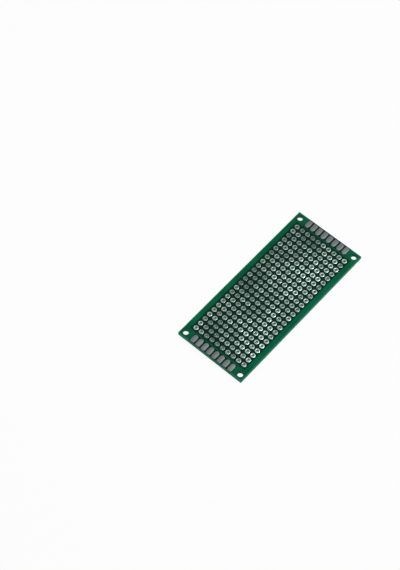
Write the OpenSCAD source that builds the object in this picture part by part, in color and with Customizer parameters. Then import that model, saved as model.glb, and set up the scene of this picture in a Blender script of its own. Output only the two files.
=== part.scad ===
// Double-sided prototype board: a glass-epoxy laminate with a grid of tinned plated-through
// holes, a row of oblong soldering pads along each short end on both faces, a solder mask
// over each face and a plain mounting hole in each corner.
// The origin is the middle of the underside. +X runs along the board and +Z points up.

/* [Board] */
// Length of the board
board_l = 70; // [50:1:100]
// Width of the board
board_w = 30; // [20:1:50]
// Thickness of the glass-epoxy laminate
core_t = 1.5; // [0.8:0.1:2.4]

/* [Plated holes] */
// Distance between neighbouring holes, both ways
pitch = 2.54; // [2.3:0.02:3.2]
// Bore that takes a component's lead
lead_hole_d = 1; // [0.8:0.05:1.2]
// Outer diameter of the ring round each hole
pad_d = 1.9; // [1.6:0.05:2.05]
// Thickness of the metal that lines each hole
plating_t = 0.05; // [0.03:0.01:0.1]
// Gap between that metal and the drilled wall of the laminate
wall_gap = 0.015; // [0.01:0.005:0.03]
// Least bare margin between the rings and the long edges of the board
side_margin = 2; // [1.5:0.1:3]
// Least bare margin between the rings and the pads at the short ends
end_gap = 0.5; // [0.3:0.1:1]

/* [Edge pads] */
// Length of each oblong pad
edge_pad_l = 3.35; // [2.5:0.05:3.8]
// Width of each oblong pad
edge_pad_w = 1.9; // [1.4:0.05:2.05]
// Rounding of the two corners that face the edge of the board
edge_pad_corner = 0.45; // [0.1:0.05:0.6]
// Bare margin between the pads and the edge of the board
edge_pad_inset = 0.35; // [0.2:0.05:0.8]

/* [Mounting holes] */
// Diameter of the plain hole in each corner
mount_hole_d = 2.3; // [2:0.1:3]
// Distance from the hole's centre to both edges of its corner
mount_inset = 2; // [1.8:0.1:2.6]
// Least distance from a mounting hole to any metal
mount_keepout = 1; // [0.5:0.1:1.5]

/* [Finish] */
// Height of the tinned metal above the laminate
pad_t = 0.05; // [0.04:0.01:0.12]
// Height of the tin at the rim of a ring and at the mouth of its hole
ring_edge_t = 0.02; // [0.01:0.005:0.03]
// Thickness of the solder mask
mask_t = 0.03; // [0.02:0.005:0.035]
// Gap between a pad and the window in the mask round it
mask_gap = 0.1; // [0.04:0.01:0.12]

/* [Hidden] */
$fn = 32;
mask_green = "#0b6b45";
laminate_green = "#5f9a80";
ring_grey = "#b3bab6";
edge_pad_grey = "#82888b";
cut = 0.1; // how far a cutter runs past the face it cuts
crown_fn = 96; // facets of the full circle that a ring's crown is a short arc of

// Radii
lead_r = lead_hole_d / 2;
barrel_r = lead_r + plating_t;
drilled_r = barrel_r + wall_gap;
pad_r = pad_d / 2;
mount_r = mount_hole_d / 2;

// Heights: the pads of the underside stand on z = 0
core_z = pad_t;
core_top = core_z + core_t;

// Places of the mounting holes and the edge pads
mount_x = board_l / 2 - mount_inset;
mount_y = board_w / 2 - mount_inset;
edge_pad_out = board_l / 2 - edge_pad_inset;
edge_pad_in = edge_pad_out - edge_pad_l;

// The grid takes as many holes as fit between the margins, and lies in the middle
function fitting(span) = floor(span / pitch) + 1;
function centred(count) = [for (i = [0 : count - 1]) (i - (count - 1) / 2) * pitch];
function clear_of_mounts(x, y, half_size) =
    norm([mount_x - abs(x), mount_y - abs(y)]) >= mount_r + mount_keepout + half_size;
hole_xs = centred(fitting(2 * (edge_pad_in - end_gap - pad_r)));
hole_ys = centred(fitting(board_w - 2 * (side_margin + pad_r)));
edge_pad_ys = [for (y = hole_ys) if (abs(y) + edge_pad_w / 2 + mount_keepout <= mount_y - mount_r) y];

places = [for (x = hole_xs, y = hole_ys) if (clear_of_mounts(x, y, pad_r)) [x, y]];

// The holes are handed out in blocks: so many along the board, on the front and back half of it.
// On the standard board a block is two holes by five.
BLOCKS = 12;
HALVES = ["front", "back"];
function two_digits(number) = str(number < 10 ? "0" : "", number);
function block_name(half, index) = str("plated_holes_", half, "_", two_digits(index + 1));
function in_block(place, half, index) =
    (half == "front") == (place.y < 0) &&
    floor(BLOCKS * (place.x / (pitch * len(hole_xs)) + 0.5)) == index;

SIDES = ["left", "right"];
FACES = ["top", "bottom"];
function edge_pads_name(side, face) = str("edge_pads_", side, "_", face);

// Puts its child at each of the four mounting holes
module at_mounts() {
    for (x = [-1, 1], y = [-1, 1]) translate([x * mount_x, y * mount_y]) children();
}

// Puts its child at each plated hole
module at_holes() {
    for (place = places) translate(place) children();
}

// Turns a feature of the top face over onto the underside
module on_face(face) {
    if (face == "top") children();
    else translate([0, 0, 2 * core_z + core_t]) mirror([0, 0, 1]) children();
}

// Outline of one edge pad at the right end: a round inner end and a squarer outer one.
// The margin makes it larger all round, for the window in the mask.
module edge_pad_outline(margin = 0) {
    half_w = edge_pad_w / 2 + margin;
    corner = edge_pad_corner + margin;
    outer = edge_pad_out + margin;
    translate([edge_pad_in + edge_pad_w / 2, 0]) circle(r = half_w);
    translate([edge_pad_in + edge_pad_w / 2, -half_w])
        square([outer - corner - edge_pad_in - edge_pad_w / 2, 2 * half_w]);
    translate([outer - corner - cut, -half_w + corner]) square([corner + cut, 2 * (half_w - corner)]);
    for (side = [-1, 1]) translate([outer - corner, side * (half_w - corner)]) circle(r = corner);
}

// Outlines of all the edge pads of one short end
module edge_pad_outlines(side, margin = 0) {
    mirror([side == "left" ? 1 : 0, 0])
        for (y = edge_pad_ys) translate([0, y]) edge_pad_outline(margin);
}

// Section of one ring above the laminate: tin that is crowned between its rim and the hole
module ring_section() {
    ring_w = pad_r - lead_r;
    crown = pad_t - ring_edge_t;
    crown_r = (ring_w * ring_w / 4 + crown * crown) / (2 * crown);
    intersection() {
        translate([lead_r, core_top]) square([ring_w, pad_t]);
        translate([lead_r + ring_w / 2, core_top + pad_t - crown_r]) circle(r = crown_r, $fn = crown_fn);
    }
}

// One plated hole: a ring on each face, joined by the barrel that lines the bore
module plated_hole() {
    rotate_extrude() {
        translate([lead_r, core_z]) square([plating_t, core_t]);
        ring_section();
        translate([0, 2 * core_z + core_t]) mirror([0, 1]) ring_section();
    }
}

// Glass-epoxy plate, drilled for the plated holes and the mounting holes
module rigid_laminate() {
    color(laminate_green)
        difference() {
            translate([-board_l / 2, -board_w / 2, core_z]) cube([board_l, board_w, core_t]);
            at_holes() translate([0, 0, core_z - cut]) cylinder(r = drilled_r, h = core_t + 2 * cut);
            at_mounts() translate([0, 0, core_z - cut]) cylinder(r = mount_r, h = core_t + 2 * cut);
        }
}

// Green film on one face, with a window round every pad and hole
module solder_mask(face) {
    color(mask_green)
        on_face(face) translate([0, 0, core_top])
            linear_extrude(mask_t)
                difference() {
                    translate([-board_l / 2, -board_w / 2]) square([board_l, board_w]);
                    at_holes() circle(r = pad_r + mask_gap);
                    at_mounts() circle(r = mount_r + mask_gap);
                    for (side = SIDES) edge_pad_outlines(side, mask_gap);
                }
}

// Oblong soldering pads of one short end and one face
module edge_pads(side, face) {
    color(edge_pad_grey)
        on_face(face) translate([0, 0, core_top])
            linear_extrude(pad_t) edge_pad_outlines(side);
}

// Plated holes of one block
module plated_holes(half, index) {
    color(ring_grey)
        for (place = places) if (in_block(place, half, index)) translate(place) plated_hole();
}

rigid_laminate();
solder_mask("top");  // solder_mask_top
solder_mask("bottom");  // solder_mask_bottom
for (side = SIDES, face = FACES)
    edge_pads(side, face);
for (half = HALVES, index = [0 : BLOCKS - 1])
    plated_holes(half, index);
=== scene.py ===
"""Dresses a double-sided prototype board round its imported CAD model.

The CAD solids hold the drilled laminate, the windows in the solder mask and the crowned tin rings
with their bores. They keep their shapes here and get their real finishes. The oblong pads at the
short ends are made anew, with the soft rim that molten tin leaves. The rest of the file sets up
the camera and the studio.
Lengths are written in millimetres and turned to metres by one constant.
"""

import logging
import math
from abc import ABC, abstractmethod
from dataclasses import dataclass
from enum import Enum

import bmesh
import bpy
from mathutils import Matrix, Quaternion, Vector


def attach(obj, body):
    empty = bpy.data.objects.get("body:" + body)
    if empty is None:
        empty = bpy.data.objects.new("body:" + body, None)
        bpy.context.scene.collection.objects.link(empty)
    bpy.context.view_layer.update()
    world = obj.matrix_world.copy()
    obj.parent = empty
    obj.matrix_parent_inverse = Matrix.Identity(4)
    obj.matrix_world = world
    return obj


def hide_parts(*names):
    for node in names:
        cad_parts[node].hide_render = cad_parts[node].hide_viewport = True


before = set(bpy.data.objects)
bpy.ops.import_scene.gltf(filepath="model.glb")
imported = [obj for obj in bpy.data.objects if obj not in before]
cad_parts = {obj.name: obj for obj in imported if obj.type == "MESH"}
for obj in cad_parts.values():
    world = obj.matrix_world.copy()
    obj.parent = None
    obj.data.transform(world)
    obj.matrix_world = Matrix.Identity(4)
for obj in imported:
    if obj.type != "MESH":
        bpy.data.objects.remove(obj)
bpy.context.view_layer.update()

LOG = logging.getLogger("prototype_board")
MM = 0.001
BODY = "root"

Socket = bpy.types.NodeSocket
Tree = bpy.types.NodeTree


@dataclass(frozen=True)
class BoardSizes:
    """The sizes of the board that the finishes and the pads share."""

    half_length: float = 35 * MM
    half_width: float = 15 * MM
    thickness: float = 1.6 * MM
    half_core: float = 0.75 * MM
    pitch: float = 2.54 * MM
    bore_radius: float = 0.5 * MM


SIZES = BoardSizes()


class Side(Enum):
    """The short ends of the board, with their sign along X."""

    LEFT = -1
    RIGHT = 1


class Face(Enum):
    """The faces of the board, with their sign along Z."""

    TOP = 1
    BOTTOM = -1


def linear(code: str) -> tuple[float, float, float, float]:
    """Turns an sRGB hex colour into the linear colour that a shader takes.

    Args:
        code: The colour as "#rrggbb".

    Returns:
        Red, green, blue and an alpha of 1.
    """
    parts = [int(code[i:i + 2], 16) / 255 for i in (1, 3, 5)]
    red, green, blue = [p / 12.92 if p <= 0.04045 else ((p + 0.055) / 1.055) ** 2.4 for p in parts]
    return red, green, blue, 1.0


def add_node(tree: Tree, kind: str, settings: dict | None = None,
             inputs: dict | None = None) -> bpy.types.Node:
    """Adds one shader node with its settings, values and links.

    Args:
        tree: The node tree that takes the node.
        kind: The node's type, without the "ShaderNode" that every type starts with.
        settings: Attributes of the node, by name.
        inputs: What goes into each input, by its name or number: a socket to link, or a value.

    Returns:
        The new node.
    """
    node = tree.nodes.new("ShaderNode" + kind)
    for name, value in (settings or {}).items():
        setattr(node, name, value)
    for name, value in (inputs or {}).items():
        if isinstance(value, Socket):
            tree.links.new(value, node.inputs[name])
        else:
            node.inputs[name].default_value = value
    return node


def colour_between(tree: Tree, value: Socket, stops: list[tuple[float, str]]) -> Socket:
    """Turns a value into a colour that blends from stop to stop.

    Args:
        tree: The node tree.
        value: The value that picks the colour.
        stops: Values from 0 to 1 in rising order, each with its hex colour.

    Returns:
        The colour.
    """
    node = add_node(tree, "ValToRGB", inputs={"Fac": value})
    ramp = node.color_ramp
    while len(ramp.elements) < len(stops):
        ramp.elements.new(0.5)
    for element, (place, code) in zip(ramp.elements, stops):
        element.position = place
        element.color = linear(code)
    return node.outputs["Color"]


def grid_distance(tree: Tree, place: Socket) -> Socket:
    """Measures how far a point is from the axis of the nearest hole of the grid.

    The grid has an even count of holes both ways, so their axes lie at half pitches.

    Args:
        tree: The node tree.
        place: The point, as object coordinates in metres.

    Returns:
        The distance in pitches: 0 on a hole's axis and 0.5 half-way to its neighbour.
    """
    flat = add_node(tree, "VectorMath", {"operation": "MULTIPLY"},
                    {0: place, 1: (1 / SIZES.pitch, 1 / SIZES.pitch, 0)})
    within = add_node(tree, "VectorMath", {"operation": "FRACTION"}, {0: flat.outputs[0]})
    length = add_node(tree, "VectorMath", {"operation": "DISTANCE"},
                      {0: within.outputs[0], 1: (0.5, 0.5, 0)})
    return length.outputs["Value"]


def cell_number(tree: Tree, place: Socket, cell: tuple[float, float]) -> Socket:
    """Draws one random value for each cell of a grid on the board.

    Args:
        tree: The node tree.
        place: The point, as object coordinates in metres.
        cell: Length and width of one cell, in metres.

    Returns:
        A value from 0 to 1, the same all over one cell.
    """
    flat = add_node(tree, "VectorMath", {"operation": "MULTIPLY"},
                    {0: place, 1: (1 / cell[0], 1 / cell[1], 0)})
    corner = add_node(tree, "VectorMath", {"operation": "FLOOR"}, {0: flat.outputs[0]})
    draw = add_node(tree, "TexWhiteNoise", {"noise_dimensions": "3D"}, {"Vector": corner.outputs[0]})
    return draw.outputs["Value"]


def inside_rectangle(tree: Tree, place: Socket, centre: tuple[float, float], half: tuple[float, float],
                     fade: float) -> Socket:
    """Marks a soft-edged rectangle, mirrored about the board's two middle lines.

    Args:
        tree: The node tree.
        place: The point, as object coordinates in metres.
        centre: Middle of the rectangle on the positive side, in metres.
        half: Its half length and half width, in metres.
        fade: Width of its soft border, in metres.

    Returns:
        A value that is 1 inside and 0 outside.
    """
    positive = add_node(tree, "VectorMath", {"operation": "ABSOLUTE"}, {0: place})
    offset = add_node(tree, "VectorMath", {"operation": "SUBTRACT"},
                      {0: positive.outputs[0], 1: (*centre, 0)})
    far = add_node(tree, "VectorMath", {"operation": "ABSOLUTE"}, {0: offset.outputs[0]})
    beyond = add_node(tree, "VectorMath", {"operation": "SUBTRACT"}, {0: far.outputs[0], 1: (*half, 0)})
    axes = add_node(tree, "SeparateXYZ", inputs={0: beyond.outputs[0]})
    outermost = add_node(tree, "Math", {"operation": "MAXIMUM"},
                         {0: axes.outputs["X"], 1: axes.outputs["Y"]})
    mask = add_node(tree, "MapRange", {"interpolation_type": "SMOOTHSTEP"},
                    {"Value": outermost.outputs[0], "From Min": 0, "From Max": fade,
                     "To Min": 1, "To Max": 0})
    return mask.outputs["Result"]


class Finish(ABC):
    """A real surface finish, which makes its own node material."""

    name: str

    def build(self) -> bpy.types.Material:
        """Makes the material.

        Returns:
            The finished material, named for what it is.
        """
        material = bpy.data.materials.new(self.name)
        material.use_nodes = True
        tree = material.node_tree
        tree.nodes.clear()
        shader = add_node(tree, "BsdfPrincipled")
        add_node(tree, "OutputMaterial", inputs={"Surface": shader.outputs["BSDF"]})
        place = add_node(tree, "TexCoord").outputs["Object"]
        self.shade(tree, shader, place)
        return material

    @abstractmethod
    def shade(self, tree: Tree, shader: bpy.types.Node, place: Socket) -> None:
        """Gives the shader its colour, roughness and relief.

        Args:
            tree: The node tree.
            shader: The Principled shader.
            place: The point, as object coordinates in metres.
        """


@dataclass(frozen=True)
class SolderMaskFinish(Finish):
    """Green photoimaged solder mask: a thin cured epoxy varnish, smooth and softly glossy.

    The bare border is the lightest, as light comes up into it through the laminate, and a lighter
    band round every edge of it is a painted highlight. Between the holes and at the ends the green is
    painted shade: deep where the metal of both faces keeps that light out, and darker still close
    round each ring of tin. The field ring is the stretch, in pitches from a hole's axis, over which
    that painted shade beside a ring of tin fades. The thread shades are how far the woven glass dims
    and lights the green.
    """

    name: str = "solder_mask_green_epoxy_varnish"
    border: str = "#03482d"
    lit_border: str = "#065c3d"
    # painted highlight: a lighter green band round every edge of the board
    rim: str = "#0b6e4c"
    painted_rim_highlight_width: float = 0.55 * MM
    # painted shade: the deep green of the field between the holes and at the ends, darker still round each
    # ring
    field: str = "#041e18"
    painted_ring_shade: str = "#010806"
    field_ring: tuple[float, float] = (0.42, 0.68)
    field_half: tuple[float, float] = (30.4 * MM, 12.6 * MM)
    end_centre: tuple[float, float] = (33.0 * MM, 0.0)
    end_half: tuple[float, float] = (1.5 * MM, 9.7 * MM)
    fade: float = 0.7 * MM
    cloud: float = 6.25 * MM
    cloud_range: tuple[float, float] = (0.35, 0.7)
    thread: float = 0.6 * MM
    thread_shades: tuple[float, float] = (0.88, 1.1)
    wander: float = 1.11 * MM
    wander_turn: float = 1.6
    relief: float = 0.15
    relief_depth: float = 0.01 * MM
    roughness: float = 0.34
    ior: float = 1.5
    specular: float = 0.2
    sheen: str = "#46d8aa"

    def weave(self, tree: Tree, place: Socket) -> Socket:
        """Draws the plain weave of the glass cloth that shows faintly through the varnish.

        Args:
            tree: The node tree.
            place: The point, as object coordinates in metres.

        Returns:
            A height from 0 to 1.
        """
        turns = add_node(tree, "VectorMath", {"operation": "MULTIPLY"},
                         {0: place, 1: (math.pi / self.thread, math.pi / self.thread, 0)})
        wander = add_node(tree, "TexNoise", inputs={"Vector": place, "Scale": 1 / self.wander, "Detail": 2})
        loose = add_node(tree, "VectorMath", {"operation": "MULTIPLY_ADD"},
                         {0: wander.outputs["Color"], 1: (self.wander_turn, self.wander_turn, 0),
                          2: turns.outputs[0]})
        waves = add_node(tree, "VectorMath", {"operation": "SINE"}, {0: loose.outputs[0]})
        axes = add_node(tree, "SeparateXYZ", inputs={0: waves.outputs[0]})
        crossed = add_node(tree, "Math", {"operation": "MULTIPLY"},
                           {0: axes.outputs["X"], 1: axes.outputs["Y"]})
        height = add_node(tree, "Math", {"operation": "MULTIPLY_ADD"},
                          {0: crossed.outputs[0], 1: 0.5, 2: 0.5})
        return height.outputs[0]

    def green(self, tree: Tree, place: Socket) -> Socket:
        """Paints the light border, a painted highlight along its rim and painted shade on the field between
        the metal.

        Args:
            tree: The node tree.
            place: The point, as object coordinates in metres.

        Returns:
            The varnish's colour.
        """
        clouds = add_node(tree, "TexNoise", inputs={"Vector": place, "Scale": 1 / self.cloud, "Detail": 4})
        low, high = self.cloud_range
        border = colour_between(tree, clouds.outputs["Fac"], [(low, self.border), (high, self.lit_border)])
        # painted highlight along the board's edges, laid over the border's green
        inside = inside_rectangle(tree, place, (0, 0), (SIZES.half_length - self.painted_rim_highlight_width,
                                                        SIZES.half_width - self.painted_rim_highlight_width), self.painted_rim_highlight_width)
        rim_highlighted = add_node(tree, "Mix", {"data_type": "RGBA"},
                         {"Factor": inside, 6: linear(self.rim), 7: border})
        # painted shade close round each ring of tin
        ring = add_node(tree, "MapRange", {"interpolation_type": "SMOOTHSTEP"},
                        {"Value": grid_distance(tree, place),
                         "From Min": self.field_ring[0], "From Max": self.field_ring[1]})
        deep = colour_between(tree, ring.outputs["Result"], [(0.0, self.painted_ring_shade), (1.0, self.field)])
        # painted shade over the field of holes and over the ends between the pads
        holes = inside_rectangle(tree, place, (0, 0), self.field_half, self.fade)
        ends = inside_rectangle(tree, place, self.end_centre, self.end_half, self.fade)
        dark = add_node(tree, "Math", {"operation": "MAXIMUM"}, {0: holes, 1: ends})
        return add_node(tree, "Mix", {"data_type": "RGBA"},
                        {"Factor": dark.outputs[0], 6: rim_highlighted.outputs[2], 7: deep}).outputs[2]

    def shade(self, tree: Tree, shader: bpy.types.Node, place: Socket) -> None:
        """Lays the green over the weave, with a very shallow relief.

        Args:
            tree: The node tree.
            shader: The Principled shader.
            place: The point, as object coordinates in metres.
        """
        weave = self.weave(tree, place)
        dim, lit = self.thread_shades
        threads = add_node(tree, "MapRange", inputs={"Value": weave, "To Min": dim, "To Max": lit})
        woven = add_node(tree, "VectorMath", {"operation": "SCALE"},
                         {0: self.green(tree, place), "Scale": threads.outputs["Result"]})
        bump = add_node(tree, "Bump",
                        inputs={"Strength": self.relief, "Distance": self.relief_depth, "Height": weave})
        tree.links.new(woven.outputs[0], shader.inputs["Base Color"])
        tree.links.new(bump.outputs["Normal"], shader.inputs["Normal"])
        shader.inputs["Roughness"].default_value = self.roughness
        shader.inputs["IOR"].default_value = self.ior
        shader.inputs["Specular IOR Level"].default_value = self.specular
        shader.inputs["Specular Tint"].default_value = linear(self.sheen)


@dataclass(frozen=True)
class LaminateFinish(Finish):
    """Cut and drilled FR-4: woven glass in epoxy, matt where the router and the drill opened its plies.

    Its faces show only in the narrow gaps round the metal, where little light gets in, and carry a
    painted shade there. The fibre is how far a streak runs along an edge, and the face skin how deep
    that painted shade reaches below each face.
    """

    name: str = "glass_epoxy_laminate_cut"
    resin: str = "#1f634e"
    glass: str = "#448672"
    # painted shade on the laminate's faces, which show only in the gaps round the metal
    painted_gap_shade: str = "#101c16"
    ply: float = 0.19 * MM
    fibre: float = 2.9 * MM
    streak_range: tuple[float, float] = (0.38, 0.66)
    face_skin: float = 0.005 * MM
    relief: float = 0.4
    relief_depth: float = 0.02 * MM
    roughness: float = 0.62
    ior: float = 1.55
    specular: float = 0.1
    sheen: str = "#5cd6ac"

    def shade(self, tree: Tree, shader: bpy.types.Node, place: Socket) -> None:
        """Draws the plies as streaks along the cut edges, and paints shade on the faces.

        Args:
            tree: The node tree.
            shader: The Principled shader.
            place: The point, as object coordinates in metres.
        """
        plies = add_node(tree, "VectorMath", {"operation": "MULTIPLY"},
                         {0: place, 1: (1 / self.fibre, 1 / self.fibre, 1 / self.ply)})
        streaks = add_node(tree, "TexNoise",
                           inputs={"Vector": plies.outputs[0], "Scale": 1, "Detail": 5, "Roughness": 0.6})
        low, high = self.streak_range
        cut = colour_between(tree, streaks.outputs["Fac"], [(low, self.resin), (high, self.glass)])
        # painted shade: the top and bottom faces are made dark
        height = add_node(tree, "SeparateXYZ", inputs={0: place}).outputs["Z"]
        outward = add_node(tree, "Math", {"operation": "SUBTRACT"}, {0: height, 1: SIZES.thickness / 2})
        from_middle = add_node(tree, "Math", {"operation": "ABSOLUTE"}, {0: outward.outputs[0]})
        at_face = add_node(tree, "Math", {"operation": "GREATER_THAN"},
                           {0: from_middle.outputs[0], 1: SIZES.half_core - self.face_skin})
        faced = add_node(tree, "Mix", {"data_type": "RGBA"},
                         {"Factor": at_face.outputs[0], 6: cut, 7: linear(self.painted_gap_shade)})
        bump = add_node(tree, "Bump", inputs={"Strength": self.relief, "Distance": self.relief_depth,
                                              "Height": streaks.outputs["Fac"]})
        tree.links.new(faced.outputs[2], shader.inputs["Base Color"])
        tree.links.new(bump.outputs["Normal"], shader.inputs["Normal"])
        shader.inputs["Roughness"].default_value = self.roughness
        shader.inputs["IOR"].default_value = self.ior
        shader.inputs["Specular IOR Level"].default_value = self.specular
        shader.inputs["Specular Tint"].default_value = linear(self.sheen)


@dataclass(frozen=True)
class TinFinish(Finish):
    """Hot-air-levelled tin over copper: soft silver, blown flat while molten and a little uneven.

    The tin is brighter over some broad parts of the board than over others, and the air knife
    leaves a little more of it on one pad than on the next. The film is the fine grain of the frozen
    tin, and the swell the slow waves of its surface. The shares weigh the film and the patches
    against the pad's own shade, and the level range is the stretch of their sum that runs from dull
    to bright.
    """

    name: str = "edge_tin_hot_air_levelled"
    dull: str = "#5f6466"
    bright: str = "#72777a"
    roughness: tuple[float, float] = (0.45, 0.6)
    ripple: float = 0.3
    ripple_depth: float = 0.02 * MM
    film: float = 0.667 * MM
    film_share: float = 0.5
    swell: float = 0.909 * MM
    cell: tuple[float, float] = (1000 * MM, SIZES.pitch)
    patch: float = 22 * MM
    patch_choice: float = 1.5
    patch_share: float = 3.2
    level_range: tuple[float, float] = (1.85, 3.4)

    def colour(self, tree: Tree, place: Socket, film: Socket) -> Socket:
        """Gives each part of the board, and each pad in it, its own shade of tin.

        Args:
            tree: The node tree.
            place: The point, as object coordinates in metres.
            film: The fine grain, from 0 to 1.

        Returns:
            The tin's colour.
        """
        own = add_node(tree, "Math", {"operation": "MULTIPLY_ADD"},
                       {0: film, 1: self.film_share, 2: cell_number(tree, place, self.cell)})
        part = add_node(tree, "TexNoise", {"noise_dimensions": "4D"},
                        {"Vector": place, "W": self.patch_choice, "Scale": 1 / self.patch, "Detail": 0})
        mixed = add_node(tree, "Math", {"operation": "MULTIPLY_ADD"},
                         {0: part.outputs["Fac"], 1: self.patch_share, 2: own.outputs[0]})
        low, high = self.level_range
        level = add_node(tree, "MapRange",
                         inputs={"Value": mixed.outputs[0], "From Min": low, "From Max": high})
        return colour_between(tree, level.outputs["Result"], [(0.0, self.dull), (1.0, self.bright)])

    def shade(self, tree: Tree, shader: bpy.types.Node, place: Socket) -> None:
        """Varies the metal's colour and gloss, and lets its surface wave.

        Args:
            tree: The node tree.
            shader: The Principled shader.
            place: The point, as object coordinates in metres.
        """
        film = add_node(tree, "TexNoise", inputs={"Vector": place, "Scale": 1 / self.film, "Detail": 3})
        low, high = self.roughness
        rough = add_node(tree, "MapRange",
                         inputs={"Value": film.outputs["Fac"], "To Min": low, "To Max": high})
        swell = add_node(tree, "TexNoise", inputs={"Vector": place, "Scale": 1 / self.swell, "Detail": 1})
        bump = add_node(tree, "Bump", inputs={"Strength": self.ripple, "Distance": self.ripple_depth,
                                              "Height": swell.outputs["Fac"]})
        tree.links.new(self.colour(tree, place, film.outputs["Fac"]), shader.inputs["Base Color"])
        tree.links.new(rough.outputs["Result"], shader.inputs["Roughness"])
        tree.links.new(bump.outputs["Normal"], shader.inputs["Normal"])
        shader.inputs["Metallic"].default_value = 1.0


@dataclass(frozen=True)
class RingTinFinish(TinFinish):
    """The same tin on a ring, glossier there, with painted shade down the bore.

    The mouth is the stretch, in bore radii from a hole's axis, over which the painted shade gives way.
    """

    name: str = "ring_tin_hot_air_levelled"
    dull: str = "#50625b"
    bright: str = "#a0b3ac"
    roughness: tuple[float, float] = (0.18, 0.34)
    ripple: float = 0.5
    cell: tuple[float, float] = (SIZES.pitch, SIZES.pitch)
    # painted shade down the bore and on the mouth of the ring
    painted_bore_shade: str = "#44514d"
    mouth: tuple[float, float] = (1.02, 1.16)

    def colour(self, tree: Tree, place: Socket, film: Socket) -> Socket:
        """Paints shade on the tin from the mouth of the bore inwards.

        Args:
            tree: The node tree.
            place: The point, as object coordinates in metres.
            film: The fine grain, from 0 to 1.

        Returns:
            The tin's colour.
        """
        ring = super().colour(tree, place, film)
        # painted shade, from the mouth of the bore inwards
        bore = SIZES.bore_radius / SIZES.pitch
        outside = add_node(tree, "MapRange", inputs={"Value": grid_distance(tree, place),
                                                     "From Min": self.mouth[0] * bore,
                                                     "From Max": self.mouth[1] * bore})
        return add_node(tree, "Mix", {"data_type": "RGBA"},
                        {"Factor": outside.outputs["Result"], 6: linear(self.painted_bore_shade), 7: ring}).outputs[2]


class SubAssembly(ABC):
    """A group of CAD nodes that are made of one material."""

    prefix: str
    finish: Finish

    def nodes(self) -> list[bpy.types.Object]:
        """The group's CAD objects, in the order of their names."""
        return [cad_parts[name] for name in sorted(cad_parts) if name.startswith(self.prefix)]

    def build(self) -> bpy.types.Material:
        """Gives the group's CAD objects their finish.

        Returns:
            The group's material.
        """
        material = self.finish.build()
        for node in self.nodes():
            node.material_slots[0].material = material
            LOG.info("%s wears %s", node.name, material.name)
        return material


@dataclass
class Laminate(SubAssembly):
    """The drilled glass-epoxy plate."""

    prefix: str = "rigid_laminate"
    finish: Finish = LaminateFinish()


@dataclass
class SolderMask(SubAssembly):
    """The varnish on both faces, with its windows."""

    prefix: str = "solder_mask"
    finish: Finish = SolderMaskFinish()


@dataclass
class PlatedHoles(SubAssembly):
    """The rings of both faces with the barrels that join them."""

    prefix: str = "plated_holes"
    finish: Finish = RingTinFinish()


@dataclass
class EdgePads(SubAssembly):
    """The oblong pads of both short ends, each a low cushion of tin with a soft rim."""

    prefix: str = "edge_pads"
    finish: Finish = TinFinish()
    count: int = 8
    length: float = 3.35 * MM
    width: float = 1.9 * MM
    corner: float = 0.45 * MM
    inset: float = 0.35 * MM
    height: float = 0.05 * MM
    rim: float = 0.045 * MM
    round_steps: int = 12
    corner_steps: int = 5
    rim_steps: int = 3

    def outline(self) -> list[Vector]:
        """Draws one pad flat: a round inner end and a squarer outer one.

        Returns:
            The corners of the outline, anticlockwise, for the pad on the X axis at the right end.
        """
        outer = SIZES.half_length - self.inset
        half = self.width / 2
        arcs = [
            (outer - self.length + half, 0.0, half, 90, 270, self.round_steps),
            (outer - self.corner, self.corner - half, self.corner, 270, 360, self.corner_steps),
            (outer - self.corner, half - self.corner, self.corner, 0, 90, self.corner_steps),
        ]
        points = []
        for x, y, radius, start, end, steps in arcs:
            for step in range(steps + 1):
                turn = math.radians(start + (end - start) * step / steps)
                points.append(Vector((x + radius * math.cos(turn), y + radius * math.sin(turn), 0)))
        return points

    def raise_pad(self, shape: bmesh.types.BMesh, side: Side, face: Face, y: float) -> None:
        """Raises one pad from its outline and rounds its rim.

        Args:
            shape: The mesh that takes the pad.
            side: The short end that it is at.
            face: The face that it is on.
            y: Its place across the board, in metres.
        """
        middle = SIZES.thickness / 2
        low = middle + face.value * SIZES.half_core
        high = middle + face.value * (SIZES.half_core + self.height)
        foot = [shape.verts.new((side.value * p.x, y + p.y, low)) for p in self.outline()]
        sole = shape.faces.new(foot)
        raised = bmesh.ops.extrude_face_region(shape, geom=[sole])["geom"]
        top = [v for v in raised if isinstance(v, bmesh.types.BMVert)]
        for vert in top:
            vert.co.z = high
        rim = [e for e in raised if isinstance(e, bmesh.types.BMEdge)]
        bmesh.ops.bevel(shape, geom=rim, offset=self.rim, offset_type="OFFSET", segments=self.rim_steps,
                        profile=0.5, affect="EDGES", clamp_overlap=True, material=-1)

    def make(self, side: Side, face: Face, material: bpy.types.Material) -> None:
        """Makes the pads of one short end and one face in place of their CAD node.

        Args:
            side: The short end.
            face: The face of the board.
            material: The tin.
        """
        shape = bmesh.new()
        for number in range(self.count):
            self.raise_pad(shape, side, face, (number - (self.count - 1) / 2) * SIZES.pitch)
        bmesh.ops.recalc_face_normals(shape, faces=shape.faces)
        name = f"{side.name}_{face.name}".lower()
        mesh = bpy.data.meshes.new(f"tin_cushions_{name}")
        shape.to_mesh(mesh)
        shape.free()
        mesh.shade_smooth()
        mesh.materials.append(material)
        piece = bpy.data.objects.new(mesh.name, mesh)
        bpy.context.scene.collection.objects.link(piece)
        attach(piece, BODY)
        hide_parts(f"{self.prefix}_{name}")
        LOG.info("made %s with %d faces", piece.name, len(mesh.polygons))

    def build(self) -> bpy.types.Material:
        """Makes the pads of both ends and both faces.

        Returns:
            The pads' tin.
        """
        material = super().build()
        for side in Side:
            for face in Face:
                self.make(side, face, material)
        return material


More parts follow.
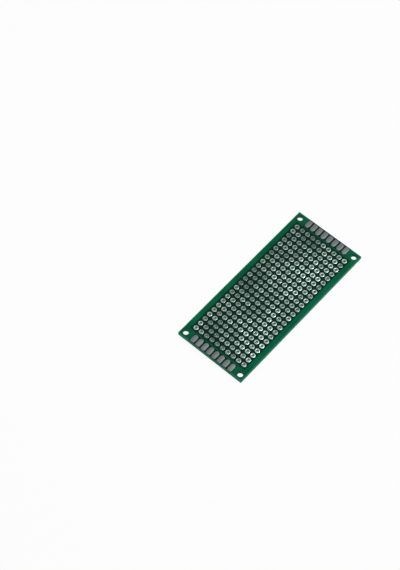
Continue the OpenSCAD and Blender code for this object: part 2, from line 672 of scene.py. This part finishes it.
@dataclass
class Studio:
    """A plain white table under soft light.

    The floor's white is the share of pure white in what is seen of the table. The rest of it is
    matt paper, which takes the board's shadow.
    """

    floor_half: float = 900 * MM
    floor_colour: str = "#e6e6e6"
    floor_white: float = 0.9
    ambient: float = 0.55
    lamp_place: tuple[float, float, float] = (200 * MM, -110 * MM, 560 * MM)
    lamp_size: float = 240 * MM
    lamp_power: float = 2.0

    def seen_rays(self, tree: Tree) -> Socket:
        """Tells the rays that see the background from the rays that only light the scene.

        Args:
            tree: The node tree.

        Returns:
            A value that is 1 for camera, glossy and transmission rays, and 0 for the rest.
        """
        rays = add_node(tree, "LightPath")
        first = add_node(tree, "Math", {"operation": "MAXIMUM"},
                         {0: rays.outputs["Is Camera Ray"], 1: rays.outputs["Is Glossy Ray"]})
        return add_node(tree, "Math", {"operation": "MAXIMUM"},
                        {0: first.outputs[0], 1: rays.outputs["Is Transmission Ray"]}).outputs[0]

    def build_world(self) -> None:
        """Makes the white surroundings: full white where they are seen, softer as light."""
        world = bpy.data.worlds.new("white_surroundings")
        bpy.context.scene.world = world
        world.use_nodes = True
        tree = world.node_tree
        tree.nodes.clear()
        strength = add_node(tree, "MapRange",
                            inputs={"Value": self.seen_rays(tree), "To Min": self.ambient, "To Max": 1.0})
        back = add_node(tree, "Background", inputs={"Color": linear("#ffffff"),
                                                    "Strength": strength.outputs["Result"]})
        add_node(tree, "OutputWorld", inputs={"Surface": back.outputs[0]})

    def build_table(self) -> None:
        """Makes the white table, which keeps a faint shadow of the board."""
        shape = bmesh.new()
        bmesh.ops.create_grid(shape, x_segments=1, y_segments=1, size=self.floor_half)
        mesh = bpy.data.meshes.new("white_table")
        shape.to_mesh(mesh)
        shape.free()
        table = bpy.data.objects.new("white_table", mesh)
        bpy.context.scene.collection.objects.link(table)
        material = bpy.data.materials.new("white_table_paper")
        material.use_nodes = True
        tree = material.node_tree
        tree.nodes.clear()
        paper = add_node(tree, "BsdfDiffuse", inputs={"Color": linear(self.floor_colour)})
        white = add_node(tree, "Emission", inputs={"Color": linear("#ffffff"), "Strength": 1.0})
        share = add_node(tree, "Math", {"operation": "MULTIPLY"},
                         {0: self.seen_rays(tree), 1: self.floor_white})
        mixed = add_node(tree, "MixShader",
                         inputs={0: share.outputs[0], 1: paper.outputs[0], 2: white.outputs[0]})
        add_node(tree, "OutputMaterial", inputs={"Surface": mixed.outputs[0]})
        mesh.materials.append(material)

    def build_lamp(self) -> None:
        """Hangs one large soft lamp high over the board, a little beyond it."""
        light = bpy.data.lights.new("soft_lamp", "AREA")
        light.shape = "SQUARE"
        light.size = self.lamp_size
        light.energy = self.lamp_power
        lamp = bpy.data.objects.new("soft_lamp", light)
        lamp.location = self.lamp_place
        lamp.rotation_euler = (-Vector(self.lamp_place)).to_track_quat("-Z", "Y").to_euler()
        bpy.context.scene.collection.objects.link(lamp)

    def build(self) -> None:
        """Makes the surroundings, the table and the lamp, and sets plain colour output."""
        bpy.context.scene.view_settings.view_transform = "Standard"
        self.build_world()
        self.build_table()
        self.build_lamp()
        LOG.info("made the studio")


@dataclass
class PhotoCamera:
    """The camera, placed by a perspective fit of the photograph's 240 holes.

    It looks down on the board from beyond its left end, past the middle of the long edge.
    """

    image_long_side: int = 570
    focal_length_px: float = 1647.7
    sensor: float = 36.0
    aim: tuple[float, float, float] = (-14.67 * MM, 22.13 * MM, 1.65 * MM)
    distance: float = 610.8 * MM
    azimuth: float = -51.36
    elevation: float = 59.73
    roll: float = 2.69
    nearest: float = 10 * MM

    def build(self) -> None:
        """Makes the camera and makes it the scene's."""
        turn, rise = math.radians(self.azimuth), math.radians(self.elevation)
        back = Vector((math.sin(turn) * math.cos(rise), -math.cos(turn) * math.cos(rise), math.sin(rise)))
        data = bpy.data.cameras.new("photo_camera")
        data.sensor_width = self.sensor
        data.lens = self.focal_length_px * self.sensor / self.image_long_side
        data.clip_start = self.nearest
        camera = bpy.data.objects.new("photo_camera", data)
        camera.location = Vector(self.aim) + back * self.distance
        camera.rotation_mode = "QUATERNION"
        upright = (-back).to_track_quat("-Z", "Y")
        camera.rotation_quaternion = upright @ Quaternion((0, 0, 1), math.radians(self.roll))
        bpy.context.scene.collection.objects.link(camera)
        bpy.context.scene.camera = camera
        LOG.info("placed the camera")


def main() -> None:
    """Builds the camera, the studio and the board in order."""
    logging.basicConfig(level=logging.INFO, format="%(name)s: %(message)s")
    PhotoCamera().build()
    Studio().build()
    for group in (Laminate(), SolderMask(), PlatedHoles(), EdgePads()):
        group.build()


if __name__ == "__main__":
    main()
